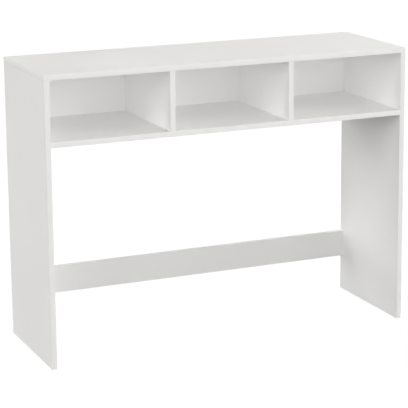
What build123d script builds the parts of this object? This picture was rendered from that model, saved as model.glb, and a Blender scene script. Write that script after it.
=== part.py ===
from build123d import *
import os

# Console table made of white melamine-faced chipboard: a top on two full-height side
# boards, three open compartments under the top and a low stretcher rail at the back.
# Millimetres. X runs along the table, Y from front to back, Z up from the floor.
# The origin is on the floor, under the middle of the top.

# Overall sizes
WIDTH = 1100.0
DEPTH = 360.0
HEIGHT = 820.0
BOARD = 15.0

# Edge strips: plastic banding glued to every edge that stays in sight
STRIP = 1.0
STRIP_RADIUS = 0.5

# Compartments and rail
FLOOR_UNDERSIDE = 622.0
COMPARTMENTS = 3
RAIL_UNDERSIDE = 110.0
RAIL_HEIGHT = 80.0

# Wooden dowels, 8 x 30: a third of the length in the face bore, the rest in the edge bore
DOWEL_RADIUS = 3.95
DOWEL_BORE_RADIUS = 4.05
DOWEL_IN_FACE = 10.0
DOWEL_IN_EDGE = 20.0
DOWEL_GLUE_ROOM = 1.0
DOWEL_CHAMFER = 0.8

# Cam locks and the cam bolts that they pull on
CAM_RADIUS = 7.4
CAM_BORE_RADIUS = 7.5
CAM_DEPTH = 12.0
CAM_FROM_EDGE = 34.0
CAM_MOUTH_RADIUS = 3.8
CAM_MOUTH_PAST_CENTRE = 3.0
CAM_MOUTH_PAST_RIM = 1.0
CROSS_LENGTH = 7.5
CROSS_WIDTH = 1.5
CROSS_DEPTH = 2.0
BOLT_TAIL_RADIUS = 2.9
BOLT_TAIL_BORE_RADIUS = 3.0
BOLT_TAIL_LENGTH = 10.0
BOLT_SHANK_RADIUS = 3.3
BOLT_BORE_RADIUS = 3.5
BOLT_SHANK_LENGTH = 25.0
BOLT_NECK_RADIUS = 1.9
BOLT_NECK_LENGTH = 5.0
BOLT_HEAD_RADIUS = 3.3
BOLT_HEAD_LENGTH = 3.4
BOLT_HEAD_CHAMFER = 1.0

# Plastic caps over the cam locks that face a compartment
CAP_RADIUS = 8.5
CAP_THICKNESS = 1.0
CAP_ROUNDING = 0.7
CAP_TONGUE_LENGTH = 6.5
CAP_TONGUE_WIDTH = 1.0
CAP_TONGUE_DEPTH = 1.5

# Countersunk board screws that hold the dividers from below
SCREW_LENGTH = 50.0
SCREW_HEAD_RADIUS = 4.9
SCREW_HEAD_LENGTH = 4.0
SCREW_SHANK_RADIUS = 3.4
SCREW_SHANK_LENGTH = 11.0
SCREW_THREAD_RADIUS = 2.4
SCREW_CLEARANCE = 0.1
SCREW_POINT_LENGTH = 3.0
SCREW_POINT_RADIUS = 1.0
HEX_SOCKET_RADIUS = 2.3
HEX_SOCKET_DEPTH = 3.0

# Where the fasteners stand along each joint
SIDE_DOWELS_Y = (-140.0, -10.0, 120.0)
FLOOR_CAMS_Y = (-130.0, 110.0)
FLOOR_DOWELS_Y = (-98.0, 78.0)
DIVIDER_CAMS_Y = (-120.0, 110.0)
DIVIDER_SCREWS_Y = (-110.0, 100.0)
DIVIDER_DOWEL_Y = -5.0
BACK_TOP_CAMS_X = (-400.0, 0.0, 400.0)
BACK_TOP_DOWELS_X = (-300.0, 300.0)
BACK_FLOOR_DOWELS_X = (-400.0, 0.0, 400.0)
BACK_END_CAM_RISE = 60.0
BACK_END_DOWEL_RISE = 100.0
RAIL_DOWEL_OFFSET = 25.0

# Derived places
HALF_WIDTH = WIDTH / 2
HALF_DEPTH = DEPTH / 2
SIDE_INNER_X = HALF_WIDTH - BOARD
TOP_UNDERSIDE = HEIGHT - BOARD
FLOOR_TOP = FLOOR_UNDERSIDE + BOARD
BACK_FRONT_Y = HALF_DEPTH - BOARD
BACK_MIDDLE_Y = HALF_DEPTH - BOARD / 2
RAIL_TOP = RAIL_UNDERSIDE + RAIL_HEIGHT
RAIL_MIDDLE_Z = RAIL_UNDERSIDE + RAIL_HEIGHT / 2
INNER_WIDTH = WIDTH - 2 * BOARD
COMPARTMENT_WIDTH = (INNER_WIDTH - (COMPARTMENTS - 1) * BOARD) / COMPARTMENTS
DIVIDER_X = (COMPARTMENT_WIDTH + BOARD) / 2

# An edge this close to a side of its board lies on that side
ON_THE_SIDE = 0.01

# The six sides of a board: axis number and direction along it
SIDES = {
    "left": (0, -1),
    "right": (0, 1),
    "front": (1, -1),
    "rear": (1, 1),
    "bottom": (2, -1),
    "top": (2, 1),
}

X_AXIS = Vector(1, 0, 0)
Y_AXIS = Vector(0, 1, 0)
Z_AXIS = Vector(0, 0, 1)


def block_between(low, high):
    """A box between two opposite corners."""
    size = [b - a for a, b in zip(low, high)]
    middle = [(a + b) / 2 for a, b in zip(low, high)]
    return Pos(*middle) * Box(*size)


def sides_of_edge(edge, low, high):
    """The names of the two sides of a box that meet along one of its edges."""
    centre = edge.center()
    place = (centre.X, centre.Y, centre.Z)
    names = set()
    for name, (axis, direction) in SIDES.items():
        limit = high[axis] if direction > 0 else low[axis]
        if abs(place[axis] - limit) < ON_THE_SIDE:
            names.add(name)
    return names


def banded_board(low, high, broad_sides, banded_sides):
    """A board's core and its edge strips by side, rounded where the strips meet the air.

    The first banded sides keep their full length and the later ones fit between them.
    """
    allowed = set(broad_sides) | set(banded_sides)
    whole = block_between(low, high)
    rounded = [e for e in whole.edges() if sides_of_edge(e, low, high) <= allowed]
    if rounded:
        whole = fillet(rounded, STRIP_RADIUS)
    core_low = list(low)
    core_high = list(high)
    strips = {}
    for side in banded_sides:
        axis, direction = SIDES[side]
        strip_low = list(core_low)
        strip_high = list(core_high)
        if direction > 0:
            strip_low[axis] = core_high[axis] - STRIP
            core_high[axis] -= STRIP
        else:
            strip_high[axis] = core_low[axis] + STRIP
            core_low[axis] += STRIP
        strips[side] = whole & block_between(strip_low, strip_high)
    core = whole & block_between(core_low, core_high)
    return core, strips


def along(point, direction, distance):
    """The point a distance further along a direction."""
    return Vector(*point) + direction * distance


def turned(shape, point, axis, across=None):
    """A shape drawn at the origin along +Z, carried to a point and turned to an axis."""
    if across is None:
        plane = Plane(origin=Vector(*point), z_dir=axis)
    else:
        plane = Plane(origin=Vector(*point), x_dir=across, z_dir=axis)
    return plane * shape


def bore(point, axis, radius, depth):
    """A round hole that starts on a face and runs along an axis into the board."""
    return turned(Cylinder(radius, depth, align=(Align.CENTER, Align.CENTER, Align.MIN)), point, axis)


def turned_profile(points):
    """A solid of revolution about Z from (radius, height) corners of its half section."""
    outline = Polyline(*[(r, 0, z) for r, z in points], close=True)
    return revolve(make_face(outline), Axis.Z, 360)


def dowel(point, into_edge):
    """A wooden dowel across a joint: point on the joint, direction into the edge bore."""
    length = DOWEL_IN_FACE + DOWEL_IN_EDGE
    inner = DOWEL_RADIUS - DOWEL_CHAMFER
    pin = turned_profile([
        (0, 0),
        (inner, 0),
        (DOWEL_RADIUS, DOWEL_CHAMFER),
        (DOWEL_RADIUS, length - DOWEL_CHAMFER),
        (inner, length),
        (0, length),
    ])
    return turned(pin, along(point, into_edge, -DOWEL_IN_FACE), into_edge)


def dowel_bores(point, into_edge):
    """The bores of a dowel: one in the edge and one in the face that it meets."""
    in_edge = bore(point, into_edge, DOWEL_BORE_RADIUS, DOWEL_IN_EDGE + DOWEL_GLUE_ROOM)
    in_face = bore(point, -into_edge, DOWEL_BORE_RADIUS, DOWEL_IN_FACE)
    return in_edge, in_face


def cam_bolt(point, into_edge):
    """A cam bolt: threaded tail in the face, shank in the edge bore, head in the cam."""
    tail_end = BOLT_TAIL_LENGTH
    shank_end = tail_end + BOLT_SHANK_LENGTH
    neck_end = shank_end + BOLT_NECK_LENGTH
    head_end = neck_end + BOLT_HEAD_LENGTH
    pin = turned_profile([
        (0, 0),
        (BOLT_TAIL_RADIUS, 0),
        (BOLT_TAIL_RADIUS, tail_end),
        (BOLT_SHANK_RADIUS, tail_end),
        (BOLT_SHANK_RADIUS, shank_end),
        (BOLT_NECK_RADIUS, shank_end),
        (BOLT_NECK_RADIUS, neck_end),
        (BOLT_HEAD_RADIUS, neck_end),
        (BOLT_HEAD_RADIUS, head_end - BOLT_HEAD_CHAMFER),
        (BOLT_HEAD_RADIUS - BOLT_HEAD_CHAMFER, head_end),
        (0, head_end),
    ])
    return turned(pin, along(point, into_edge, -BOLT_TAIL_LENGTH), into_edge)


def cam_lock(point, into_edge, outward):
    """A cam lock flush with a broad face, open towards its bolt, with a cross recess."""
    face_point = along(along(point, into_edge, CAM_FROM_EDGE), outward, BOARD / 2)
    to_axis = Vector(0, 0, -BOARD / 2)
    body = Cylinder(CAM_RADIUS, CAM_DEPTH, align=(Align.CENTER, Align.CENTER, Align.MAX))
    mouth_length = CAM_MOUTH_PAST_CENTRE + CAM_RADIUS + CAM_MOUTH_PAST_RIM
    mouth = Cylinder(CAM_MOUTH_RADIUS, mouth_length, align=(Align.CENTER, Align.CENTER, Align.MIN))
    mouth = Pos(to_axis) * Rot(0, -90, 0) * Pos(0, 0, -CAM_MOUTH_PAST_CENTRE) * mouth
    slot = Box(CROSS_LENGTH, CROSS_WIDTH, CROSS_DEPTH, align=(Align.CENTER, Align.CENTER, Align.MAX))
    cross = slot + Rot(0, 0, 90) * slot
    return turned(body - mouth - cross, face_point, outward, into_edge)


def cam_bores(point, into_edge, outward):
    """The bores of a cam joint: tail bore in the face, shank and cam bores in the board."""
    face_point = along(along(point, into_edge, CAM_FROM_EDGE), outward, BOARD / 2)
    shank = bore(point, into_edge, BOLT_BORE_RADIUS, CAM_FROM_EDGE)
    housing = bore(face_point, -outward, CAM_BORE_RADIUS, CAM_DEPTH)
    tail = bore(point, -into_edge, BOLT_TAIL_BORE_RADIUS, BOLT_TAIL_LENGTH)
    return shank + housing, tail


def cam_cap(point, into_edge, outward):
    """A plastic cap on the broad face, with a tongue in the cam lock's cross recess."""
    face_point = along(along(point, into_edge, CAM_FROM_EDGE), outward, BOARD / 2)
    disc = Cylinder(CAP_RADIUS, CAP_THICKNESS, align=(Align.CENTER, Align.CENTER, Align.MIN))
    disc = fillet(disc.edges().sort_by(Axis.Z)[-1], CAP_ROUNDING)
    tongue = Box(
        CAP_TONGUE_LENGTH,
        CAP_TONGUE_WIDTH,
        CAP_TONGUE_DEPTH,
        align=(Align.CENTER, Align.CENTER, Align.MAX),
    )
    return turned(disc + tongue, face_point, outward, into_edge)


def board_screw(point, axis):
    """A countersunk board screw: point on the underside that its head is flush with."""
    head_end = SCREW_HEAD_LENGTH
    shank_end = head_end + SCREW_SHANK_LENGTH
    thread_end = SCREW_LENGTH - SCREW_POINT_LENGTH
    pin = turned_profile([
        (0, 0),
        (SCREW_HEAD_RADIUS, 0),
        (SCREW_SHANK_RADIUS, head_end),
        (SCREW_SHANK_RADIUS, shank_end),
        (SCREW_THREAD_RADIUS, shank_end),
        (SCREW_THREAD_RADIUS, thread_end),
        (SCREW_POINT_RADIUS, SCREW_LENGTH),
        (0, SCREW_LENGTH),
    ])
    socket = extrude(RegularPolygon(HEX_SOCKET_RADIUS, 6), HEX_SOCKET_DEPTH)
    return turned(pin - socket, point, axis)


def screw_bores(point, axis):
    """The stepped hole through the floor and the pilot bore in the divider's edge."""
    head = SCREW_HEAD_RADIUS + SCREW_CLEARANCE
    shank = SCREW_SHANK_RADIUS + SCREW_CLEARANCE
    through = turned_profile([
        (0, 0),
        (head, 0),
        (shank, SCREW_HEAD_LENGTH),
        (shank, BOARD),
        (0, BOARD),
    ])
    pilot_radius = SCREW_THREAD_RADIUS + SCREW_CLEARANCE
    pilot = bore(along(point, axis, BOARD), axis, pilot_radius, SCREW_LENGTH - BOARD)
    return turned(through, point, axis), pilot


# Boards: name, low corner, high corner, broad sides, banded sides
BOARDS = {
    "top_board": (
        (-HALF_WIDTH, -HALF_DEPTH, TOP_UNDERSIDE),
        (HALF_WIDTH, HALF_DEPTH, HEIGHT),
        ("bottom", "top"),
        ("front", "rear", "left", "right"),
    ),
    "left_side_board": (
        (-HALF_WIDTH, -HALF_DEPTH, 0.0),
        (-SIDE_INNER_X, HALF_DEPTH, TOP_UNDERSIDE),
        ("left", "right"),
        ("front", "rear", "bottom"),
    ),
    "right_side_board": (
        (SIDE_INNER_X, -HALF_DEPTH, 0.0),
        (HALF_WIDTH, HALF_DEPTH, TOP_UNDERSIDE),
        ("left", "right"),
        ("front", "rear", "bottom"),
    ),
    "compartment_floor": (
        (-SIDE_INNER_X, -HALF_DEPTH, FLOOR_UNDERSIDE),
        (SIDE_INNER_X, HALF_DEPTH, FLOOR_TOP),
        ("bottom", "top"),
        ("front", "rear"),
    ),
    "left_divider": (
        (-DIVIDER_X - BOARD / 2, -HALF_DEPTH, FLOOR_TOP),
        (-DIVIDER_X + BOARD / 2, BACK_FRONT_Y, TOP_UNDERSIDE),
        ("left", "right"),
        ("front",),
    ),
    "right_divider": (
        (DIVIDER_X - BOARD / 2, -HALF_DEPTH, FLOOR_TOP),
        (DIVIDER_X + BOARD / 2, BACK_FRONT_Y, TOP_UNDERSIDE),
        ("left", "right"),
        ("front",),
    ),
    "back_panel": (
        (-SIDE_INNER_X, BACK_FRONT_Y, FLOOR_TOP),
        (SIDE_INNER_X, HALF_DEPTH, TOP_UNDERSIDE),
        ("front", "rear"),
        (),
    ),
    "lower_back_rail": (
        (-SIDE_INNER_X, BACK_FRONT_Y, RAIL_UNDERSIDE),
        (SIDE_INNER_X, HALF_DEPTH, RAIL_TOP),
        ("front", "rear"),
        ("top", "bottom"),
    ),
}

nodes = {}
cuts = {name: [] for name in BOARDS}


def add_dowel(node, point, into_edge, edge_board, face_board):
    """Put a dowel in a node's group and cut its bores in both boards."""
    in_edge, in_face = dowel_bores(point, into_edge)
    cuts[edge_board].append(in_edge)
    cuts[face_board].append(in_face)
    nodes.setdefault(node, []).append(dowel(point, into_edge))


def add_cam_joint(prefix, point, into_edge, outward, edge_board, face_board):
    """Put a cam lock and its bolt in their groups and cut their bores."""
    in_edge, in_face = cam_bores(point, into_edge, outward)
    cuts[edge_board].append(in_edge)
    cuts[face_board].append(in_face)
    nodes.setdefault(prefix + "_cam_locks", []).append(cam_lock(point, into_edge, outward))
    nodes.setdefault(prefix + "_cam_bolts", []).append(cam_bolt(point, into_edge))


# Joints that come in a left and a right copy
for hand, sign in (("left", -1), ("right", 1)):
    side_board = hand + "_side_board"
    divider_name = hand + "_divider"
    inwards = X_AXIS * -sign

    # Top on the side board: dowels alone, pulled down by the back panel and the dividers
    side_middle_x = sign * (HALF_WIDTH - BOARD / 2)
    for y in SIDE_DOWELS_Y:
        add_dowel(
            hand + "_side_to_top_dowels",
            (side_middle_x, y, TOP_UNDERSIDE),
            -Z_AXIS,
            side_board,
            "top_board",
        )

    # Compartment floor between the side boards, cam locks underneath
    floor_middle_z = FLOOR_UNDERSIDE + BOARD / 2
    for y in FLOOR_CAMS_Y:
        add_cam_joint(
            "floor",
            (sign * SIDE_INNER_X, y, floor_middle_z),
            inwards,
            -Z_AXIS,
            "compartment_floor",
            side_board,
        )
    for y in FLOOR_DOWELS_Y:
        add_dowel(
            "floor_end_dowels",
            (sign * SIDE_INNER_X, y, floor_middle_z),
            inwards,
            "compartment_floor",
            side_board,
        )

    # Ends of the back panel, cam locks on its rear face
    add_cam_joint(
        "back_panel_end",
        (sign * SIDE_INNER_X, BACK_MIDDLE_Y, FLOOR_TOP + BACK_END_CAM_RISE),
        inwards,
        Y_AXIS,
        "back_panel",
        side_board,
    )
    add_dowel(
        "back_panel_end_dowels",
        (sign * SIDE_INNER_X, BACK_MIDDLE_Y, FLOOR_TOP + BACK_END_DOWEL_RISE),
        inwards,
        "back_panel",
        side_board,
    )

    # Ends of the lower rail, cam locks on its rear face
    add_cam_joint(
        "rail",
        (sign * SIDE_INNER_X, BACK_MIDDLE_Y, RAIL_MIDDLE_Z),
        inwards,
        Y_AXIS,
        "lower_back_rail",
        side_board,
    )
    for offset in (-RAIL_DOWEL_OFFSET, RAIL_DOWEL_OFFSET):
        add_dowel(
            "rail_dowels",
            (sign * SIDE_INNER_X, BACK_MIDDLE_Y, RAIL_MIDDLE_Z + offset),
            inwards,
            "lower_back_rail",
            side_board,
        )

    # Divider: cam locks under the top on the right-hand face of both, screws from below
    for y in DIVIDER_CAMS_Y:
        joint = (sign * DIVIDER_X, y, TOP_UNDERSIDE)
        add_cam_joint("divider", joint, -Z_AXIS, X_AXIS, divider_name, "top_board")
        nodes.setdefault("divider_cam_caps", []).append(cam_cap(joint, -Z_AXIS, X_AXIS))
    for y in DIVIDER_SCREWS_Y:
        underside_point = (sign * DIVIDER_X, y, FLOOR_UNDERSIDE)
        through, pilot = screw_bores(underside_point, Z_AXIS)
        cuts["compartment_floor"].append(through)
        cuts[divider_name].append(pilot)
        nodes.setdefault("divider_screws", []).append(board_screw(underside_point, Z_AXIS))
    add_dowel(
        "divider_to_top_dowels",
        (sign * DIVIDER_X, DIVIDER_DOWEL_Y, TOP_UNDERSIDE),
        -Z_AXIS,
        divider_name,
        "top_board",
    )
    add_dowel(
        "divider_to_floor_dowels",
        (sign * DIVIDER_X, DIVIDER_DOWEL_Y, FLOOR_TOP),
        Z_AXIS,
        divider_name,
        "compartment_floor",
    )

# Long edges of the back panel
for x in BACK_TOP_CAMS_X:
    add_cam_joint(
        "back_panel_top",
        (x, BACK_MIDDLE_Y, TOP_UNDERSIDE),
        -Z_AXIS,
        Y_AXIS,
        "back_panel",
        "top_board",
    )
for x in BACK_TOP_DOWELS_X:
    add_dowel(
        "back_panel_to_top_dowels",
        (x, BACK_MIDDLE_Y, TOP_UNDERSIDE),
        -Z_AXIS,
        "back_panel",
        "top_board",
    )
for x in BACK_FLOOR_DOWELS_X:
    add_dowel(
        "back_panel_to_floor_dowels",
        (x, BACK_MIDDLE_Y, FLOOR_TOP),
        Z_AXIS,
        "back_panel",
        "compartment_floor",
    )

# Boards and their edge strips
for name, (low, high, broad_sides, banded_sides) in BOARDS.items():
    core, strips = banded_board(low, high, broad_sides, banded_sides)
    for cut in cuts[name]:
        core -= cut
    nodes[name] = [core]
    stem = name.removesuffix("_board")
    for side, strip in strips.items():
        nodes[f"{stem}_{side}_edge_strip"] = [strip]

os.makedirs("parts", exist_ok=True)
for name, pieces in nodes.items():
    solids = [solid for piece in pieces for solid in piece.solids()]
    shape = solids[0] if len(solids) == 1 else Compound(children=solids)
    export_step(shape, f"parts/{name}.step")
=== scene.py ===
"""Console table in white melamine-faced board: its looks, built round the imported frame.

The boards and the cam locks are the frame's own parts and only get their finishes here.
Edge strips, dowels, cam bolts, board screws and caps are made again as finer surfaces, each
in the place that the frame gives it. Metres; X along the table, Y from front to back, Z up.
"""

import logging
import math
from dataclasses import dataclass
from enum import Enum

import bpy
import numpy as np
from mathutils import Matrix, Vector

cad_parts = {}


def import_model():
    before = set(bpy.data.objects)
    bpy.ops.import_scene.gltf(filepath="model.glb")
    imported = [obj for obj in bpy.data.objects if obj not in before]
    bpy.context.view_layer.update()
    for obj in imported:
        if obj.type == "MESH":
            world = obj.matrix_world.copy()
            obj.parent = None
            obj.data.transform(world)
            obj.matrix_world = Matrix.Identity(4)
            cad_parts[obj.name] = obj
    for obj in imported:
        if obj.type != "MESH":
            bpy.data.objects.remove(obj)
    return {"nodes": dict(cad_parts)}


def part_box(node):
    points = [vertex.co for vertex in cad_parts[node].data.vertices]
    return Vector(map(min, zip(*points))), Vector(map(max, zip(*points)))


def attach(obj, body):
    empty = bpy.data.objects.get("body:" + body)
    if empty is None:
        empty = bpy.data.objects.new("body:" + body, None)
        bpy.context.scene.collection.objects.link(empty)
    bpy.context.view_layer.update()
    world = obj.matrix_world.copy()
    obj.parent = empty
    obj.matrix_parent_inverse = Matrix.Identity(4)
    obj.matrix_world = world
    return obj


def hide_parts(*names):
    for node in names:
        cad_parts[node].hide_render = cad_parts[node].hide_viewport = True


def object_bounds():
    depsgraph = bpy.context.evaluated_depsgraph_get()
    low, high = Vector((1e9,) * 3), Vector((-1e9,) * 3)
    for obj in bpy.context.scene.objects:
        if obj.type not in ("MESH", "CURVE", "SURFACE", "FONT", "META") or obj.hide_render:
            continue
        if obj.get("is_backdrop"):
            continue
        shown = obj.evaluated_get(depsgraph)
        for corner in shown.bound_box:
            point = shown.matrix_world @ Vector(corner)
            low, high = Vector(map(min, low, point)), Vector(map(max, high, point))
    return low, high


LOG = logging.getLogger("console_table")
BODY = "root"
GRAIN = "grain"

MM = 0.001
TURN = 2.0 * math.pi
SHARP_ANGLE = math.radians(32.0)
SAME_POINT = 1e-6

# Ranges that the finishes stretch from and onto
WHOLE = (0.0, 1.0)
MOST_OF_A_NOISE = (0.3, 0.7)

Triple = tuple[float, float, float]
Colour = Triple
Corners = tuple[np.ndarray, np.ndarray]


class Axis(Enum):
    """The three directions of the table's frame, by their number."""

    X = 0
    Y = 1
    Z = 2

    def unit(self, sign: float = 1.0) -> np.ndarray:
        """The unit vector along this axis, or against it.

        Args:
            sign: 1 for along, -1 for against.

        Returns:
            Three numbers.
        """
        vector = np.zeros(3)
        vector[self.value] = sign
        return vector


class Side(Enum):
    """The side of a board that an edge strip is glued to: its axis and direction."""

    LEFT = (Axis.X, -1.0)
    RIGHT = (Axis.X, 1.0)
    FRONT = (Axis.Y, -1.0)
    REAR = (Axis.Y, 1.0)
    BOTTOM = (Axis.Z, -1.0)
    TOP = (Axis.Z, 1.0)


class FreeEnds(Enum):
    """Which ends of a strip stand in the air and are rounded: the low one, the high one."""

    NONE = (False, False)
    LOW = (True, False)
    BOTH = (True, True)


# ---------------------------------------------------------------------------------------
# Meshes
# ---------------------------------------------------------------------------------------


class Skin:
    """Closed shells gathered into one mesh, each made of rings carried along a path."""

    def __init__(self) -> None:
        """Start with no shell."""
        self.points: list[np.ndarray] = []
        self.grain: list[np.ndarray] = []
        self.faces: list[list[int]] = []
        self.count = 0

    def add_shell(self, local: np.ndarray, origin: np.ndarray, basis: np.ndarray) -> None:
        """Join neighbouring rings with four-sided faces and close both ends with a flat face.

        A point of the shell is the origin plus its three local numbers times the three
        basis vectors. The faces are turned over if the volume that they hold, a sixth of
        the sum of each face fan's triple products, comes out negative.

        Args:
            local: Rings by points by three: distance along the path and two across it.
            origin: Where the path starts.
            basis: The directions of the three local numbers, one per row.
        """
        rings, around = local.shape[:2]
        points = origin + local.reshape(-1, 3) @ basis
        first = np.arange(rings - 1)[:, None] * around + np.arange(around)
        second = np.arange(rings - 1)[:, None] * around + (np.arange(around) + 1) % around
        quads = np.stack([first, second, second + around, first + around], axis=-1)
        quads = quads.reshape(-1, 4)
        start_cap = np.arange(around)[::-1]
        end_cap = (rings - 1) * around + np.arange(around)
        if self._volume(points, quads, start_cap, end_cap) < 0.0:
            quads = quads[:, ::-1]
            start_cap = start_cap[::-1]
            end_cap = end_cap[::-1]
        self.faces += (quads + self.count).tolist()
        self.faces += [(start_cap + self.count).tolist(), (end_cap + self.count).tolist()]
        self.points.append(points)
        self.grain.append(local.reshape(-1, 3))
        self.count += len(points)

    @staticmethod
    def _volume(points: np.ndarray, quads: np.ndarray, *caps: np.ndarray) -> float:
        """Six times the volume inside the faces: the sum of each triangle's triple product.

        Args:
            points: The shell's points.
            quads: Its four-sided faces.
            caps: The two faces that close its ends.

        Returns:
            A positive number when the faces look outwards.
        """
        fans = [
            np.stack([np.full(len(cap) - 2, cap[0]), cap[1:-1], cap[2:]], axis=-1)
            for cap in caps
        ]
        triangles = np.concatenate([quads[:, [0, 1, 2]], quads[:, [0, 2, 3]], *fans])
        a, b, c = (points[triangles[:, k]] - points[0] for k in range(3))
        return float(np.einsum("ij,ij->", a, np.cross(b, c)))

    def build(self, name: str, material: bpy.types.Material) -> bpy.types.Object:
        """Put the shells into a mesh object that rides on the table.

        Args:
            name: The piece's name.
            material: The finish that it wears.

        Returns:
            The new object, at the origin and unturned.
        """
        mesh = bpy.data.meshes.new(name)
        mesh.from_pydata(np.concatenate(self.points).tolist(), [], self.faces)
        layer = mesh.attributes.new(GRAIN, "FLOAT_VECTOR", "POINT")
        layer.data.foreach_set("vector", np.concatenate(self.grain).ravel())
        mesh.polygons.foreach_set("use_smooth", np.ones(len(mesh.polygons), dtype=bool))
        mesh.set_sharp_from_angle(angle=SHARP_ANGLE)
        mesh.materials.append(material)
        mesh.validate()
        piece = bpy.data.objects.new(name, mesh)
        bpy.context.scene.collection.objects.link(piece)
        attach(piece, BODY)
        return piece


def solids_of(node: bpy.types.Object) -> list[Corners]:
    """Find the separate solids in a frame node that holds a group of like fasteners.

    Points in the same place are one point. Each point then takes the lowest number among
    the triangles that it is part of, again and again, until every solid has one number.

    Args:
        node: The frame node.

    Returns:
        The lowest and highest corner of each solid.
    """
    points = np.empty(len(node.data.vertices) * 3, dtype=np.float32)
    node.data.vertices.foreach_get("co", points)
    points = points.reshape(-1, 3).astype(float)
    corners = np.empty(len(node.data.loops), dtype=np.int32)
    node.data.loops.foreach_get("vertex_index", corners)
    places, merged = np.unique(np.round(points / SAME_POINT), axis=0, return_inverse=True)
    triangles = merged.reshape(-1)[corners].reshape(-1, 3)
    labels = np.arange(len(places))
    settled = False
    while not settled:
        lowest = labels.copy()
        np.minimum.at(lowest, triangles.ravel(), np.repeat(labels[triangles].min(axis=1), 3))
        lowest = lowest[lowest]
        settled = bool((lowest == labels).all())
        labels = lowest
    owner = labels[merged.reshape(-1)]
    solids = [points[owner == label] for label in np.unique(owner)]
    return [(solid.min(axis=0), solid.max(axis=0)) for solid in solids]


def polar_rings(heights: np.ndarray, radii: np.ndarray) -> np.ndarray:
    """Rings round a straight path: at each height, the radius as a function of the turn.

    Args:
        heights: One distance along the path per ring.
        radii: Rings by points: the radius at equal steps of the turn, or one per ring.

    Returns:
        Rings by points by three: height, radius times cosine, radius times sine.
    """
    turn = np.linspace(0.0, TURN, radii.shape[1], endpoint=False)
    along = np.broadcast_to(heights[:, None], radii.shape)
    return np.stack([along, radii * np.cos(turn), radii * np.sin(turn)], axis=-1)


def basis_along(axis: Axis, sign: float) -> np.ndarray:
    """Three directions at right angles, the first along an axis.

    Args:
        axis: The axis.
        sign: 1 for along it, -1 for against it.

    Returns:
        The three directions, one per row.
    """
    forward = axis.unit(sign)
    across = Axis((axis.value + 1) % 3).unit()
    return np.stack([forward, across, np.cross(forward, across)])


def longest_axis(low: np.ndarray, high: np.ndarray) -> Axis:
    """The axis along which a box is longest."""
    return Axis(int(np.argmax(high - low)))


# ---------------------------------------------------------------------------------------
# Finishes
# ---------------------------------------------------------------------------------------


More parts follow.
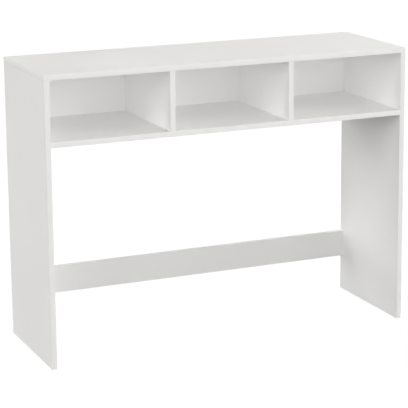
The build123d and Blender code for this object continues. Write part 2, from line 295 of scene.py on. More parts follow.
class NodeSheet:
    """One material's nodes, with short calls for what the finishes share."""

    def __init__(self, name: str) -> None:
        """Make a material that holds a single Principled shader.

        Args:
            name: The material's name.
        """
        self.material = bpy.data.materials.new(name)
        self.material.use_nodes = True
        self.tree = self.material.node_tree
        self.shader = self.tree.nodes["Principled BSDF"]

    def node(self, kind: str, **settings: object) -> bpy.types.Node:
        """Add a node and set its plain properties.

        Args:
            kind: Blender's name of the node type.
            settings: Properties of the node by name.

        Returns:
            The node.
        """
        made = self.tree.nodes.new(kind)
        for name, value in settings.items():
            setattr(made, name, value)
        return made

    def join(self, source: bpy.types.NodeSocket, target: bpy.types.NodeSocket) -> None:
        """Link an output to an input."""
        self.tree.links.new(source, target)

    def fixed(self, **values: object) -> None:
        """Set constants on the shader's own sockets; a blank in a name is an underscore."""
        for name, value in values.items():
            self.shader.inputs[name.replace("_", " ")].default_value = value

    def place(
        self,
        stretch: Triple = (1.0, 1.0, 1.0),
        along_grain: bool = False,
    ) -> bpy.types.NodeSocket:
        """Coordinates in metres, stretched along each direction.

        Args:
            stretch: Factor for each coordinate.
            along_grain: Follow the piece's own grain attribute in place of the object.

        Returns:
            A vector output.
        """
        if along_grain:
            source = self.node("ShaderNodeAttribute", attribute_name=GRAIN).outputs["Vector"]
        else:
            source = self.node("ShaderNodeTexCoord").outputs["Object"]
        mapping = self.node("ShaderNodeMapping")
        mapping.inputs["Scale"].default_value = stretch
        self.join(source, mapping.inputs["Vector"])
        return mapping.outputs["Vector"]

    def noise(
        self,
        where: bpy.types.NodeSocket,
        per_metre: float,
        detail: float = 2.0,
    ) -> bpy.types.NodeSocket:
        """Cloudy noise with a number of features per metre.

        Args:
            where: The coordinates.
            per_metre: How many features fit in a metre.
            detail: How many finer layers are added.

        Returns:
            An output between 0 and 1.
        """
        cloud = self.node("ShaderNodeTexNoise")
        cloud.inputs["Scale"].default_value = per_metre
        cloud.inputs["Detail"].default_value = detail
        self.join(where, cloud.inputs["Vector"])
        return cloud.outputs["Fac"]

    def cells(self, where: bpy.types.NodeSocket, per_metre: float) -> bpy.types.NodeSocket:
        """Flat-toned cells like pressed chips.

        Args:
            where: The coordinates.
            per_metre: How many cells fit in a metre.

        Returns:
            A colour output, one tone per cell.
        """
        chips = self.node("ShaderNodeTexVoronoi")
        chips.inputs["Scale"].default_value = per_metre
        self.join(where, chips.inputs["Vector"])
        return chips.outputs["Color"]

    def spread(
        self,
        value: bpy.types.NodeSocket,
        take: tuple[float, float],
        give: tuple[float, float],
    ) -> bpy.types.NodeSocket:
        """Stretch one range of values onto another and clamp it.

        Args:
            value: The input.
            take: The range that is read.
            give: The range that is given.

        Returns:
            The output.
        """
        ranger = self.node("ShaderNodeMapRange", interpolation_type="SMOOTHSTEP")
        for index, number in enumerate((*take, *give), start=1):
            ranger.inputs[index].default_value = number
        self.join(value, ranger.inputs[0])
        return ranger.outputs[0]

    def mix(
        self,
        factor: bpy.types.NodeSocket,
        first: Colour | bpy.types.NodeSocket,
        second: Colour | bpy.types.NodeSocket,
    ) -> bpy.types.NodeSocket:
        """Blend from a first colour to a second as the factor goes from 0 to 1.

        Args:
            factor: The blend.
            first: A colour or a colour output.
            second: A colour or a colour output.

        Returns:
            The blended colour.
        """
        mixer = self.node("ShaderNodeMix", data_type="RGBA")
        self.join(factor, mixer.inputs[0])
        # The colour sockets go by number, because each name is on several of them.
        for socket, colour in ((mixer.inputs[6], first), (mixer.inputs[7], second)):
            if isinstance(colour, bpy.types.NodeSocket):
                self.join(colour, socket)
            else:
                socket.default_value = (*colour, 1.0)
        return mixer.outputs[2]

    def colour(self, source: bpy.types.NodeSocket) -> None:
        """Use an output as the shader's colour."""
        self.join(source, self.shader.inputs["Base Color"])

    def roughness(self, source: bpy.types.NodeSocket) -> None:
        """Use an output as the shader's roughness."""
        self.join(source, self.shader.inputs["Roughness"])

    def relief(self, height: bpy.types.NodeSocket, depth: float, strength: float) -> None:
        """Raise and lower the surface's shading by a height.

        Args:
            height: An output between 0 and 1.
            depth: What 1 stands for, in metres.
            strength: How much of it shows.
        """
        bump = self.node("ShaderNodeBump")
        bump.inputs["Strength"].default_value = strength
        bump.inputs["Distance"].default_value = depth
        self.join(height, bump.inputs["Height"])
        self.join(bump.outputs["Normal"], self.shader.inputs["Normal"])


def shade(colour: Colour, factor: float) -> Colour:
    """A colour made lighter or darker by a factor."""
    return tuple(min(1.0, channel * factor) for channel in colour)


@dataclass(frozen=True)
class MelamineBoard:
    """White melamine paper pressed on chipboard: white broad faces, raw chips at the edges."""

    white: Colour = (0.968, 0.967, 0.965)
    chips_dark: Colour = (0.30, 0.19, 0.10)
    chips_light: Colour = (0.66, 0.50, 0.32)
    roughness: tuple[float, float] = (0.44, 0.56)
    clouds_per_metre: float = 5.0
    cloud_shade: float = 0.99
    pearl_per_metre: float = 900.0
    pearl_shade: float = 0.98
    pearl_range: tuple[float, float] = (0.55, 0.8)
    pearl_share: tuple[float, float] = (0.0, 0.5)
    pearl_depth: float = 0.06 * MM
    pearl_strength: float = 0.25
    chips_per_metre: float = 420.0
    sheen_range: tuple[float, float] = (0.25, 0.75)
    specular: float = 0.35
    edge_turn: tuple[float, float] = (0.4, 0.6)

    def make(self, broad: Axis) -> bpy.types.Material:
        """Build the finish for boards whose broad faces look along an axis.

        Args:
            broad: The axis that the two broad faces look along.

        Returns:
            The material.
        """
        sheet = NodeSheet(f"melamine_board_{broad.name.lower()}")
        where = sheet.place()
        cloud = sheet.noise(where, self.clouds_per_metre, detail=3.0)
        pearl = sheet.noise(where, self.pearl_per_metre)
        cloudy = sheet.spread(cloud, MOST_OF_A_NOISE, WHOLE)
        pearly = sheet.spread(pearl, self.pearl_range, self.pearl_share)
        tone = sheet.mix(cloudy, self.white, shade(self.white, self.cloud_shade))
        white = sheet.mix(pearly, tone, shade(self.white, self.pearl_shade))
        cells = sheet.cells(where, self.chips_per_metre)
        chips = sheet.mix(cells, self.chips_dark, self.chips_light)
        sheet.colour(sheet.mix(self._faces_along(sheet, broad), chips, white))
        sheet.roughness(sheet.spread(cloud, self.sheen_range, self.roughness))
        sheet.relief(pearl, self.pearl_depth, self.pearl_strength)
        sheet.fixed(Specular_IOR_Level=self.specular)
        return sheet.material

    def _faces_along(self, sheet: NodeSheet, broad: Axis) -> bpy.types.NodeSocket:
        """1 on the faces that look along an axis, 0 on the cut edges and in the bores.

        Args:
            sheet: The material's nodes.
            broad: The axis.

        Returns:
            The mask.
        """
        parts = sheet.node("ShaderNodeSeparateXYZ")
        sheet.join(sheet.node("ShaderNodeNewGeometry").outputs["True Normal"], parts.inputs[0])
        size = sheet.node("ShaderNodeMath", operation="ABSOLUTE")
        sheet.join(parts.outputs[broad.value], size.inputs[0])
        return sheet.spread(size.outputs[0], self.edge_turn, WHOLE)


@dataclass(frozen=True)
class StripPlastic:
    """Satin white plastic banding, scraped lengthwise, with a thin glue line under it."""

    white: Colour = (0.965, 0.964, 0.962)
    glue: Colour = (0.80, 0.77, 0.70)
    roughness: tuple[float, float] = (0.36, 0.48)
    glue_line: float = 0.05 * MM
    clouds_per_metre: float = 9.0
    cloud_shade: float = 0.985
    scrape_stretch: Triple = (12.0, 1800.0, 1800.0)
    scrape_depth: float = 0.02 * MM
    scrape_strength: float = 0.3
    specular: float = 0.4

    def make(self) -> bpy.types.Material:
        """Build the finish; the grain's third number is the depth from the glue line out.

        Returns:
            The material.
        """
        sheet = NodeSheet("strip_plastic")
        lengthwise = sheet.place(self.scrape_stretch, along_grain=True)
        scrape = sheet.noise(lengthwise, per_metre=1.0)
        cloud = sheet.noise(sheet.place(), self.clouds_per_metre)
        grain = sheet.node("ShaderNodeSeparateXYZ")
        sheet.join(sheet.place(along_grain=True), grain.inputs[0])
        bare = sheet.spread(grain.outputs[2], (0.0, self.glue_line), WHOLE)
        cloudy = sheet.spread(cloud, MOST_OF_A_NOISE, WHOLE)
        white = sheet.mix(cloudy, self.white, shade(self.white, self.cloud_shade))
        sheet.colour(sheet.mix(bare, self.glue, white))
        sheet.roughness(sheet.spread(scrape, MOST_OF_A_NOISE, self.roughness))
        sheet.relief(scrape, self.scrape_depth, self.scrape_strength)
        sheet.fixed(Specular_IOR_Level=self.specular)
        return sheet.material


@dataclass(frozen=True)
class CapPlastic:
    """Moulded white cap with a fine spark-eroded texture."""

    white: Colour = (0.955, 0.950, 0.940)
    roughness: tuple[float, float] = (0.40, 0.55)
    texture_per_metre: float = 2600.0
    texture_shade: float = 0.97
    texture_depth: float = 0.03 * MM
    texture_strength: float = 0.3

    def make(self) -> bpy.types.Material:
        """Build the finish.

        Returns:
            The material.
        """
        sheet = NodeSheet("cap_plastic")
        texture = sheet.noise(sheet.place(), self.texture_per_metre)
        sheet.colour(sheet.mix(texture, self.white, shade(self.white, self.texture_shade)))
        sheet.roughness(sheet.spread(texture, MOST_OF_A_NOISE, self.roughness))
        sheet.relief(texture, self.texture_depth, self.texture_strength)
        return sheet.material


@dataclass(frozen=True)
class Metal:
    """A bare or plated fastener metal with a cast or rolled skin."""

    name: str
    light: Colour
    dark: Colour
    roughness: tuple[float, float]
    grain_per_metre: float
    grain_depth: float
    grain_strength: float = 0.4
    grains_per_stain: float = 8.0
    stain_range: tuple[float, float] = (0.35, 0.7)

    def make(self) -> bpy.types.Material:
        """Build the finish: cloudy tarnish in the colour, grain in the relief.

        Returns:
            The material.
        """
        sheet = NodeSheet(self.name)
        where = sheet.place()
        tarnish = sheet.noise(where, self.grain_per_metre / self.grains_per_stain, detail=3.0)
        grain = sheet.noise(where, self.grain_per_metre)
        stained = sheet.spread(tarnish, self.stain_range, WHOLE)
        sheet.colour(sheet.mix(stained, self.light, self.dark))
        sheet.roughness(sheet.spread(grain, MOST_OF_A_NOISE, self.roughness))
        sheet.relief(grain, self.grain_depth, self.grain_strength)
        sheet.fixed(Metallic=1.0)
        return sheet.material


@dataclass(frozen=True)
class Beech:
    """Turned beech: long fibres with short dark flecks along the dowel."""

    light: Colour = (0.74, 0.56, 0.36)
    dark: Colour = (0.58, 0.40, 0.23)
    fleck: Colour = (0.36, 0.22, 0.12)
    fibre_stretch: Triple = (60.0, 1100.0, 1100.0)
    fleck_stretch: Triple = (260.0, 1500.0, 1500.0)
    fleck_range: tuple[float, float] = (0.66, 0.74)
    fleck_share: tuple[float, float] = (0.0, 0.6)
    roughness: tuple[float, float] = (0.6, 0.75)
    fibre_depth: float = 0.05 * MM
    fibre_strength: float = 0.4

    def make(self) -> bpy.types.Material:
        """Build the finish along the dowel's own grain.

        Returns:
            The material.
        """
        sheet = NodeSheet("beech")
        fibres = sheet.place(self.fibre_stretch, along_grain=True)
        fibre = sheet.noise(fibres, per_metre=1.0, detail=4.0)
        flecks = sheet.place(self.fleck_stretch, along_grain=True)
        fleck = sheet.noise(flecks, per_metre=1.0, detail=1.0)
        wood = sheet.mix(sheet.spread(fibre, MOST_OF_A_NOISE, WHOLE), self.light, self.dark)
        flecked = sheet.spread(fleck, self.fleck_range, self.fleck_share)
        sheet.colour(sheet.mix(flecked, wood, self.fleck))
        sheet.roughness(sheet.spread(fibre, MOST_OF_A_NOISE, self.roughness))
        sheet.relief(fibre, self.fibre_depth, self.fibre_strength)
        return sheet.material


@dataclass(frozen=True)
class StudioFloor:
    """A matte floor that glows white and shows only a trace of a shadow."""

    grey: Colour = (0.10, 0.10, 0.10)
    glow: float = 0.95
    roughness: float = 0.9
    clouds_per_metre: float = 0.8
    cloud_shade: float = 0.995

    def make(self) -> bpy.types.Material:
        """Build the finish.

        Returns:
            The material.
        """
        sheet = NodeSheet("studio_floor")
        cloud = sheet.noise(sheet.place(), self.clouds_per_metre)
        sheet.colour(sheet.mix(cloud, self.grey, shade(self.grey, self.cloud_shade)))
        sheet.fixed(
            Roughness=self.roughness,
            Specular_IOR_Level=0.0,
            Emission_Color=(1.0, 1.0, 1.0, 1.0),
            Emission_Strength=self.glow,
        )
        return sheet.material


ZINC = Metal(
    name="cast_zinc",
    light=(0.60, 0.60, 0.59),
    dark=(0.40, 0.40, 0.40),
    roughness=(0.38, 0.55),
    grain_per_metre=1500.0,
    grain_depth=0.04 * MM,
)
STEEL = Metal(
    name="plated_steel",
    light=(0.72, 0.72, 0.70),
    dark=(0.52, 0.53, 0.55),
    roughness=(0.22, 0.36),
    grain_per_metre=2200.0,
    grain_depth=0.015 * MM,
)


# ---------------------------------------------------------------------------------------
# The table's sub-assemblies
# ---------------------------------------------------------------------------------------


@dataclass(frozen=True)
class BoardSet:
    """The eight boards, which keep the frame's own shapes and bores."""

    broad_faces: tuple[tuple[str, Axis], ...] = (
        ("top_board", Axis.Z),
        ("left_side_board", Axis.X),
        ("right_side_board", Axis.X),
        ("compartment_floor", Axis.Z),
        ("left_divider", Axis.X),
        ("right_divider", Axis.X),
        ("back_panel", Axis.Y),
        ("lower_back_rail", Axis.Y),
    )

    def dress(self, nodes: dict[str, bpy.types.Object]) -> None:
        """Give each board the melamine finish for the way that it faces.

        Args:
            nodes: The frame's nodes by name.
        """
        finish = MelamineBoard()
        materials = {axis: finish.make(axis) for axis in Axis}
        for name, broad in self.broad_faces:
            dress_node(nodes[name], materials[broad])


@dataclass(frozen=True)
class CamLockSet:
    """The die-cast cam locks, which keep the frame's own shapes."""

    groups: tuple[str, ...] = ("floor", "back_panel_end", "back_panel_top", "rail", "divider")

    def dress(self, nodes: dict[str, bpy.types.Object]) -> None:
        """Give each group of cam locks the zinc finish.

        Args:
            nodes: The frame's nodes by name.
        """
        zinc = ZINC.make()
        for group in self.groups:
            dress_node(nodes[f"{group}_cam_locks"], zinc)


def dress_node(node: bpy.types.Object, material: bpy.types.Material) -> None:
    """Put a finish on a frame node in place of the one that it came with.

    Args:
        node: The frame node.
        material: Its finish.
    """
    for slot in node.material_slots:
        slot.material = material
    LOG.info("dressed %s in %s", node.name, material.name)


@dataclass(frozen=True)
class EdgeStrip:
    """One strip of banding: a flat bar with its outer arrises scraped round.

    The strip lies in the box of its frame node. Its section has a quarter circle at each
    outer arris and a hairline chamfer at the glue line.
    """

    board: str
    side: Side
    free_ends: FreeEnds = FreeEnds.NONE
    arris_radius: float = 0.5 * MM
    glue_chamfer: float = 0.06 * MM
    arc_steps: int = 6

    @property
    def node(self) -> str:
        """The name of the frame node that the strip stands for."""
        return f"{self.board}_{self.side.name.lower()}_edge_strip"

    def section(self, half_width: float, thickness: float, inset: np.ndarray) -> np.ndarray:
        """The strip's outline at each ring, drawn in as the inset grows.

        Going round: the chamfered glue-line corner, a quarter circle at each outer arris,
        whose radius is the arris radius less the inset, and the other glue-line corner.

        Args:
            half_width: Half the board's thickness.
            thickness: The strip's own thickness.
            inset: One distance per ring by which the three outer faces move in.

        Returns:
            Rings by points by two: across the strip and outwards.
        """
        radius = (self.arris_radius - inset)[:, None]
        reach = (half_width - inset)[:, None]
        out = (thickness - inset)[:, None]
        turn = np.linspace(0.0, TURN / 4.0, self.arc_steps + 1)
        arc_across = reach - radius + radius * np.cos(turn)
        arc_out = out - radius + radius * np.sin(turn)
        foot_across = np.concatenate([reach - self.glue_chamfer, reach], axis=1)
        glue_face = np.zeros_like(reach)
        foot_out = np.concatenate([glue_face, glue_face + self.glue_chamfer], axis=1)
        half_across = np.concatenate([foot_across, arc_across], axis=1)
        half_out = np.concatenate([foot_out, arc_out], axis=1)
        across = np.concatenate([half_across, -half_across[:, ::-1]], axis=1)
        outwards = np.concatenate([half_out, half_out[:, ::-1]], axis=1)
        return np.stack([across, outwards], axis=-1)

    def stations(self, length: float) -> tuple[np.ndarray, np.ndarray]:
        """Where the rings stand and how far each is drawn in.

        At a free end the distance from the end is r - r cos(t) turned round, so the inset
        follows a quarter circle: r - sqrt(r squared - (r - distance) squared).

        Args:
            length: The strip's length.

        Returns:
            Distances along the strip and the inset at each.
        """
        radius = self.arris_radius
        turn = np.linspace(0.0, TURN / 4.0, self.arc_steps + 1)
        distance = radius * (1.0 - np.cos(turn))
        inset = radius * (1.0 - np.sin(turn))
        low_free, high_free = self.free_ends.value
        low = (distance, inset) if low_free else (np.zeros(1), np.zeros(1))
        high = (length - distance, inset) if high_free else (np.full(1, length), np.zeros(1))
        along = np.concatenate([low[0], high[0][::-1]])
        return along, np.concatenate([low[1], high[1][::-1]])

    def build(self, material: bpy.types.Material) -> bpy.types.Object:
        """Make the strip in its node's box.

        Args:
            material: The banding's finish.

        Returns:
            The piece.
        """
        low, high = (np.array(corner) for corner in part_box(self.node))
        outward_axis, direction = self.side.value
        size = high - low
        size[outward_axis.value] = 0.0
        length_axis = Axis(int(np.argmax(size)))
        # The numbers of the three axes add up to 3.
        width_axis = Axis(3 - outward_axis.value - length_axis.value)
        thickness = high[outward_axis.value] - low[outward_axis.value]
        along, inset = self.stations(size[length_axis.value])
        outline = self.section(size[width_axis.value] / 2.0, thickness, inset)
        rings = np.broadcast_to(along[:, None, None], (*outline.shape[:2], 1))
        origin = (low + high) / 2.0
        origin[length_axis.value] = low[length_axis.value]
        glue_side = low if direction > 0.0 else high
        origin[outward_axis.value] = glue_side[outward_axis.value]
        basis = np.stack([length_axis.unit(), width_axis.unit(), outward_axis.unit(direction)])
        skin = Skin()
        skin.add_shell(np.concatenate([rings, outline], axis=-1), origin, basis)
        piece = skin.build(self.node.removesuffix("_edge_strip") + "_banding", material)
        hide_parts(self.node)
        return piece


STRIPS = (
    EdgeStrip("top", Side.FRONT, FreeEnds.BOTH),
    EdgeStrip("top", Side.REAR, FreeEnds.BOTH),
    EdgeStrip("top", Side.LEFT),
    EdgeStrip("top", Side.RIGHT),
    EdgeStrip("left_side", Side.FRONT, FreeEnds.LOW),
    EdgeStrip("left_side", Side.REAR, FreeEnds.LOW),
    EdgeStrip("left_side", Side.BOTTOM),
    EdgeStrip("right_side", Side.FRONT, FreeEnds.LOW),
    EdgeStrip("right_side", Side.REAR, FreeEnds.LOW),
    EdgeStrip("right_side", Side.BOTTOM),
    EdgeStrip("compartment_floor", Side.FRONT),
    EdgeStrip("compartment_floor", Side.REAR),
    EdgeStrip("left_divider", Side.FRONT),
    EdgeStrip("right_divider", Side.FRONT),
    EdgeStrip("lower_back_rail", Side.TOP),
    EdgeStrip("lower_back_rail", Side.BOTTOM),
)


@dataclass(frozen=True)
class FlutedDowel:
    """A turned dowel with chamfered ends and glue flutes along it."""

    flutes: int = 18
    points_per_flute: int = 6
    flute_depth: float = 0.28 * MM
    chamfer: float = 0.9 * MM

    def rings(self, length: float, radius: float) -> np.ndarray:
        """The dowel's surface over its length and turn.

        The radius is the plain one less the flute depth times a raised cosine of the turn,
        and it falls in a straight line over the chamfer at each end.

        Args:
            length: The dowel's length.
            radius: Its outer radius.

        Returns:
            Rings by points by three.
        """
        turn = np.linspace(0.0, TURN, self.flutes * self.points_per_flute, endpoint=False)
        groove = self.flute_depth * (0.5 + 0.5 * np.cos(self.flutes * turn)) ** 2
        heights = np.array([0.0, self.chamfer, length / 2.0, length - self.chamfer, length])
        fall = np.array([self.chamfer, 0.0, 0.0, 0.0, self.chamfer])
        return polar_rings(heights, radius - groove[None, :] - fall[:, None])

    def build(self, node: bpy.types.Object, material: bpy.types.Material) -> bpy.types.Object:
        """Make every dowel of a group in the place of the plain one.

        Args:
            node: The frame's group of dowels.
            material: The wood's finish.

        Returns:
            The piece.
        """
        skin = Skin()
        for low, high in solids_of(node):
            axis = longest_axis(low, high)
            length = high[axis.value] - low[axis.value]
            radius = np.sort(high - low)[0] / 2.0
            start = (low + high) / 2.0 - axis.unit() * length / 2.0
            skin.add_shell(self.rings(length, radius), start, basis_along(axis, 1.0))
        piece = skin.build(node.name.replace("dowels", "fluted_dowels"), material)
        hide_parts(node.name)
        return piece


@dataclass(frozen=True)
class CamBolt:
    """A cam bolt: a cut thread for the chipboard, a collar, a shank, a neck and a ball head."""

    around: int = 28
    thread_pitch: float = 2.0 * MM
    thread_depth: float = 0.75 * MM
    steps_per_pitch: int = 8
    thread_set_back: float = 0.4 * MM
    tail: float = 10.0 * MM
    shank_end: float = 35.0 * MM
    neck_end: float = 40.0 * MM
    shank_waist: float = 0.5 * MM
    neck_radius: float = 1.9 * MM
    barrel_reach: float = 0.9
    barrel_steps: int = 9
    edge: float = 0.35 * MM

    def rings(self, length: float, radius: float) -> np.ndarray:
        """The bolt's surface over its length and turn.

        On the tail the radius is the outer one less the thread depth times a triangle wave
        of height over pitch less turn, which winds the ridge round as a helix and fades at
        the tip. The shank is a plain round, the neck narrower, and the head is a barrel
        whose radius follows the square root of one less the fourth power of its height.

        Args:
            length: The bolt's length.
            radius: Its largest radius.

        Returns:
            Rings by points by three.
        """
        turn = np.linspace(0.0, 1.0, self.around, endpoint=False)
        steps = int(self.tail / self.thread_pitch * self.steps_per_pitch)
        tail_heights = np.linspace(0.0, self.tail - self.edge, steps)
        phase = (tail_heights[:, None] / self.thread_pitch - turn[None, :]) % 1.0
        ridge = 1.0 - np.abs(2.0 * phase - 1.0)
        outer = radius - self.thread_set_back
        tip = np.clip(1.0 - tail_heights / self.thread_pitch, 0.0, 1.0)[:, None]
        tail_radii = outer - self.thread_depth * np.maximum(1.0 - ridge, tip)
        plain = np.array([
            (self.tail, radius - self.edge),
            (self.tail + self.edge, radius),
            (self.shank_end / 2.0, radius - self.shank_waist),
            (self.shank_end - self.edge, radius),
            (self.shank_end, radius - self.edge),
            (self.shank_end, self.neck_radius),
            (self.neck_end, self.neck_radius),
        ])
        barrel = np.linspace(-self.barrel_reach, self.barrel_reach, self.barrel_steps)
        head_middle = (self.neck_end + length) / 2.0
        head_half = (length - self.neck_end) / 2.0
        head_heights = head_middle + head_half * barrel / self.barrel_reach
        head_radii = radius * np.sqrt(1.0 - barrel**4)
        heights = np.concatenate([tail_heights, plain[:, 0], head_heights])
        smooth = np.concatenate([plain[:, 1], head_radii])[:, None]
        smooth_radii = np.broadcast_to(smooth, (len(smooth), self.around))
        return polar_rings(heights, np.concatenate([tail_radii, smooth_radii]))

    def build(
        self,
        bolts: bpy.types.Object,
        locks: bpy.types.Object,
        material: bpy.types.Material,
    ) -> bpy.types.Object:
        """Make every bolt of a group, each with its head towards the nearest cam lock.

        Args:
            bolts: The frame's group of bolts.
            locks: The frame's group of cam locks that they run into.
            material: The steel's finish.

        Returns:
            The piece.
        """
        centres = np.array([(low + high) / 2.0 for low, high in solids_of(locks)])
        skin = Skin()
        for low, high in solids_of(bolts):
            axis = longest_axis(low, high)
            middle = (low + high) / 2.0
            nearest = centres[np.argmin(np.linalg.norm(centres - middle, axis=1))]
            sign = float(np.sign(nearest[axis.value] - middle[axis.value]))
            length = high[axis.value] - low[axis.value]
            radius = np.sort(high - low)[0] / 2.0
            start = middle - axis.unit(sign) * length / 2.0
            skin.add_shell(self.rings(length, radius), start, basis_along(axis, sign))
        piece = skin.build(bolts.name.replace("cam_bolts", "threaded_cam_bolts"), material)
        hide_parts(bolts.name)
        return piece


@dataclass(frozen=True)
class BoardScrew:
    """A countersunk board screw with a hexagon socket and a coarse thread."""

    around: int = 48
    socket_radius: float = 2.3 * MM
    socket_depth: float = 3.0 * MM
    head_land: float = 0.4 * MM
    head_length: float = 4.0 * MM
    shank_radius: float = 3.4 * MM
    shank_end: float = 15.0 * MM
    point_length: float = 3.0 * MM
    point_share: float = 0.3
    thread_outer: float = 3.3 * MM
    thread_core: float = 2.2 * MM
    thread_pitch: float = 3.0 * MM
    steps_per_pitch: int = 10

    def rings(self, length: float, head_radius: float) -> np.ndarray:
        """The screw's surface, from the bottom of its socket out over the head to the tip.

        The socket's radius is that of a hexagon: its inner radius over the cosine of the
        turn, folded into one sixth. The head is a cone on a short land. On the thread the
        radius rises from the core along a sharp ridge, the fourth power of a triangle wave
        of height over pitch less turn, and the point tapers to a small flat.

        Args:
            length: The screw's length.
            head_radius: The radius of its head.

        Returns:
            Rings by points by three.
        """
        turn = np.linspace(0.0, 1.0, self.around, endpoint=False)
        folded = ((turn * 6.0) % 1.0 - 0.5) * TURN / 6.0
        hexagon = self.socket_radius * math.cos(TURN / 12.0) / np.cos(folded)
        socket = np.stack([hexagon, hexagon])
        plain = np.array([
            (0.0, head_radius - self.head_land),
            (self.head_land / 2.0, head_radius),
            (self.head_land, head_radius),
            (self.head_length, self.shank_radius),
            (self.shank_end, self.shank_radius),
        ])
        steps = int((length - self.shank_end) / self.thread_pitch * self.steps_per_pitch)
        heights = np.linspace(self.shank_end, length, steps)
        phase = (heights[:, None] / self.thread_pitch - turn[None, :]) % 1.0
        ridge = (1.0 - np.abs(2.0 * phase - 1.0)) ** 4
        grow = np.clip((heights - self.shank_end) / self.thread_pitch, 0.0, 1.0)
        taper = np.clip((length - heights) / self.point_length, self.point_share, 1.0)
        ridge_height = (self.thread_outer - self.thread_core) * ridge * (grow * taper)[:, None]
        thread = self.thread_core * taper[:, None] + ridge_height
        smooth = np.broadcast_to(plain[:, 1:], (len(plain), self.around))
        along = np.concatenate([[self.socket_depth, 0.0], plain[:, 0], heights])
        return polar_rings(along, np.concatenate([socket, smooth, thread]))

    def build(self, node: bpy.types.Object, material: bpy.types.Material) -> bpy.types.Object:
        """Make every screw of the group, heads down.

        Args:
            node: The frame's group of screws.
            material: The steel's finish.

        Returns:
            The piece.
        """
        skin = Skin()
        for low, high in solids_of(node):
            start = (low + high) / 2.0
            start[Axis.Z.value] = low[Axis.Z.value]
            radius = (high - low)[Axis.X.value] / 2.0
            length = (high - low)[Axis.Z.value]
            skin.add_shell(self.rings(length, radius), start, basis_along(Axis.Z, 1.0))
        piece = skin.build("divider_threaded_screws", material)
        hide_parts(node.name)
        return piece


@dataclass(frozen=True)
class CamCap:
    """A push-in cap: a low dome with a soft rim and a stub that grips the cam's recess."""

    around: int = 64
    dome_steps: int = 14
    disc: float = 1.0 * MM
    rim: float = 0.35 * MM
    stub_radius: float = 0.7 * MM
    crown_share: float = 0.05

    def rings(self, radius: float, stub_length: float) -> np.ndarray:
        """The cap's surface from the stub's end, round the rim and over the dome.

        Over the dome the height is the rim plus the rest times the square root of one less
        the fourth power of the radius, so that it is flat on top and falls steeply.

        Args:
            radius: The disc's radius.
            stub_length: How far the stub reaches behind the disc.

        Returns:
            Rings by points by three.
        """
        share = np.cos(np.linspace(0.0, TURN / 4.0, self.dome_steps))[:-1]
        share = np.append(share, self.crown_share)
        dome = self.rim + (self.disc - self.rim) * np.sqrt(1.0 - share**4)
        heights = np.concatenate([[0.0, stub_length, stub_length], stub_length + dome])
        radii = np.concatenate([[self.stub_radius, self.stub_radius, radius], radius * share])
        return polar_rings(heights, np.broadcast_to(radii[:, None], (len(radii), self.around)))

    def build(self, node: bpy.types.Object, material: bpy.types.Material) -> bpy.types.Object:
        """Make every cap of the group, facing to the right.

        Args:
            node: The frame's group of caps.
            material: The plastic's finish.

        Returns:
            The piece.
        """
        skin = Skin()
        for low, high in solids_of(node):
            start = (low + high) / 2.0
            start[Axis.X.value] = low[Axis.X.value]
            stub = (high - low)[Axis.X.value] - self.disc
            radius = (high - low)[Axis.Z.value] / 2.0
            skin.add_shell(self.rings(radius, stub), start, basis_along(Axis.X, 1.0))
        piece = skin.build("divider_domed_caps", material)
        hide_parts(node.name)
        return piece


@dataclass(frozen=True)
class Joinery:
    """All the fasteners: dowels, cam bolts, screws and caps, found by their frame names."""

    def build(self, nodes: dict[str, bpy.types.Object]) -> list[bpy.types.Object]:
        """Make the finer fasteners, each group in the place of the frame's.

        Args:
            nodes: The frame's nodes by name.

        Returns:
            The pieces.
        """
        beech = Beech().make()
        steel = STEEL.make()
        pieces = [
            FlutedDowel().build(nodes[name], beech)
            for name in sorted(nodes)
            if name.endswith("_dowels")
        ]
        for group in CamLockSet().groups:
            bolts = nodes[f"{group}_cam_bolts"]
            locks = nodes[f"{group}_cam_locks"]
            pieces.append(CamBolt().build(bolts, locks, steel))
        pieces.append(BoardScrew().build(nodes["divider_screws"], steel))
        pieces.append(CamCap().build(nodes["divider_cam_caps"], CapPlastic().make()))
        return pieces


# ---------------------------------------------------------------------------------------
# Studio
# ---------------------------------------------------------------------------------------


@dataclass(frozen=True)
class SoftLight:
    """A far soft light that looks like a wide disc from the table.

    The azimuth is counted in degrees from the table's front towards its left, and the
    spread is the disc's width in degrees.
    """

    name: str
    azimuth: float
    elevation: float
    spread: float
    strength: float
    tint: Colour = (1.0, 0.991, 0.974)
    distance: float = 8.0

    def hang(self, target: Vector) -> None:
        """Hang the light on its direction and turn it to the table.

        Args:
            target: The middle of the table.
        """
        lamp = bpy.data.lights.new(self.name, "SUN")
        lamp.angle = math.radians(self.spread)
        lamp.energy = self.strength
        lamp.color = self.tint
        azimuth = math.radians(self.azimuth)
        elevation = math.radians(self.elevation)
        level = math.cos(elevation)
        ahead = math.cos(azimuth) * level
        aside = math.sin(azimuth) * level
        away = Vector((-aside, -ahead, math.sin(elevation)))
        holder = bpy.data.objects.new(self.name, lamp)
        holder.location = target + away * self.distance
        holder.rotation_euler = away.to_track_quat("Z", "Y").to_euler()
        bpy.context.scene.collection.objects.link(holder)


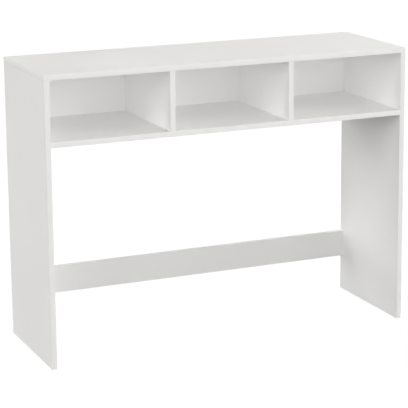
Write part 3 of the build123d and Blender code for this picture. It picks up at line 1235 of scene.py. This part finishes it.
@dataclass(frozen=True)
class Camera:
    """A long lens in front of the table, to the left and above it.

    The angles are in degrees: the yaw turns the view to the right, the pitch turns it down.
    """

    place: Triple = (-1.9270, -4.4311, 1.5711)
    yaw: float = 23.923
    pitch: float = 12.940
    roll: float = -0.394
    lens: float = 150.16
    shift_x: float = -0.0392
    shift_y: float = -0.0735

    def stand(self) -> None:
        """Put up the camera: forward from yaw and pitch, then rolled about its own line."""
        yaw, pitch, roll = (math.radians(a) for a in (self.yaw, self.pitch, self.roll))
        level = math.cos(pitch)
        forward = Vector((math.sin(yaw) * level, math.cos(yaw) * level, -math.sin(pitch)))
        right = Vector((math.cos(yaw), -math.sin(yaw), 0.0))
        up = right.cross(forward)
        rolled_right = right * math.cos(roll) + up * math.sin(roll)
        rolled_up = up * math.cos(roll) - right * math.sin(roll)
        data = bpy.data.cameras.new("camera")
        data.lens = self.lens
        data.shift_x = self.shift_x
        data.shift_y = self.shift_y
        camera = bpy.data.objects.new("camera", data)
        matrix = Matrix((rolled_right, rolled_up, -forward)).transposed().to_4x4()
        matrix.translation = Vector(self.place)
        camera.matrix_world = matrix
        bpy.context.scene.collection.objects.link(camera)
        bpy.context.scene.camera = camera


@dataclass(frozen=True)
class Studio:
    """The pale floor, the soft light round the table and the plain world."""

    floor_size: float = 120.0
    floor_lines: int = 9
    ambient: float = 0.045
    backdrop: float = 1.0
    light_paths: int = 16
    lights: tuple[SoftLight, ...] = (
        SoftLight("front", 0.0, 5.0, 24.0, 0.42),
        SoftLight("front_to_right", -20.0, 5.0, 24.0, 0.29),
        SoftLight("front_left", 42.0, 5.0, 24.0, 0.40),
        SoftLight("left_to_front", 66.0, 5.0, 24.0, 0.22),
        SoftLight("right_to_front", -66.0, 5.0, 24.0, 0.88),
        SoftLight("rear_left", 135.0, 5.0, 24.0, 0.47),
        SoftLight("upper_front_right", -30.0, 24.0, 34.0, 0.51),
        SoftLight("upper_left", 60.0, 24.0, 34.0, 0.88),
        SoftLight("upper_right", -60.0, 24.0, 34.0, 0.88),
        SoftLight("upper_rear_left", 135.0, 24.0, 34.0, 0.41),
        SoftLight("upper_rear_right", -135.0, 24.0, 34.0, 0.46),
        SoftLight("high_rear_left", 135.0, 48.0, 44.0, 0.75),
        SoftLight("high_rear", 180.0, 48.0, 44.0, 0.61),
    )

    def build(self, low: Vector, high: Vector) -> None:
        """Set up the floor, the world and the lights.

        Args:
            low: The table's lowest corner.
            high: The table's highest corner.
        """
        self._floor(low.z)
        self._world()
        for light in self.lights:
            light.hang((low + high) / 2.0)
        scene = bpy.context.scene
        scene.view_settings.view_transform = "Standard"
        scene.cycles.diffuse_bounces = self.light_paths
        scene.cycles.max_bounces = self.light_paths

    def _floor(self, height: float) -> None:
        """Lay the floor as a fine sheet at a height; it takes shadows but throws no light.

        Args:
            height: The height of the table's lowest point.
        """
        lines = self.floor_lines
        half = self.floor_size / 2.0
        steps = np.linspace(-half, half, lines)
        grid = np.stack([*np.meshgrid(steps, steps), np.full((lines, lines), height)], axis=-1)
        cells = np.arange(lines - 1)
        first = (cells[:, None] * lines + cells).ravel()
        faces = np.stack([first, first + 1, first + lines + 1, first + lines], axis=-1)
        mesh = bpy.data.meshes.new("studio_floor")
        mesh.from_pydata(grid.reshape(-1, 3).tolist(), [], faces.tolist())
        mesh.materials.append(StudioFloor().make())
        floor = bpy.data.objects.new("studio_floor", mesh)
        floor.visible_diffuse = False
        bpy.context.scene.collection.objects.link(floor)
        floor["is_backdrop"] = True

    def _world(self) -> None:
        """Make the world pale to look at and dim as a light."""
        world = bpy.data.worlds.new("studio")
        world.use_nodes = True
        tree = world.node_tree
        background = tree.nodes["Background"]
        background.inputs["Color"].default_value = (1.0, 1.0, 1.0, 1.0)
        seen = tree.nodes.new("ShaderNodeLightPath").outputs["Is Camera Ray"]
        strength = tree.nodes.new("ShaderNodeMapRange")
        strength.inputs["To Min"].default_value = self.ambient
        strength.inputs["To Max"].default_value = self.backdrop
        tree.links.new(seen, strength.inputs["Value"])
        tree.links.new(strength.outputs["Result"], background.inputs["Strength"])
        bpy.context.scene.world = world


def main() -> None:
    """Load the frame, dress and refine each sub-assembly, and light the table."""
    logging.basicConfig(level=logging.INFO, format="%(name)s: %(message)s")
    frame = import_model()
    cad_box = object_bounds()
    nodes = frame["nodes"]
    BoardSet().dress(nodes)
    CamLockSet().dress(nodes)
    plastic = StripPlastic().make()
    pieces = [strip.build(plastic) for strip in STRIPS]
    pieces += Joinery().build(nodes)
    for piece in pieces:
        LOG.info("built %s with %d faces", piece.name, len(piece.data.polygons))
    Studio().build(*cad_box)
    Camera().stand()


if __name__ == "__main__":
    main()
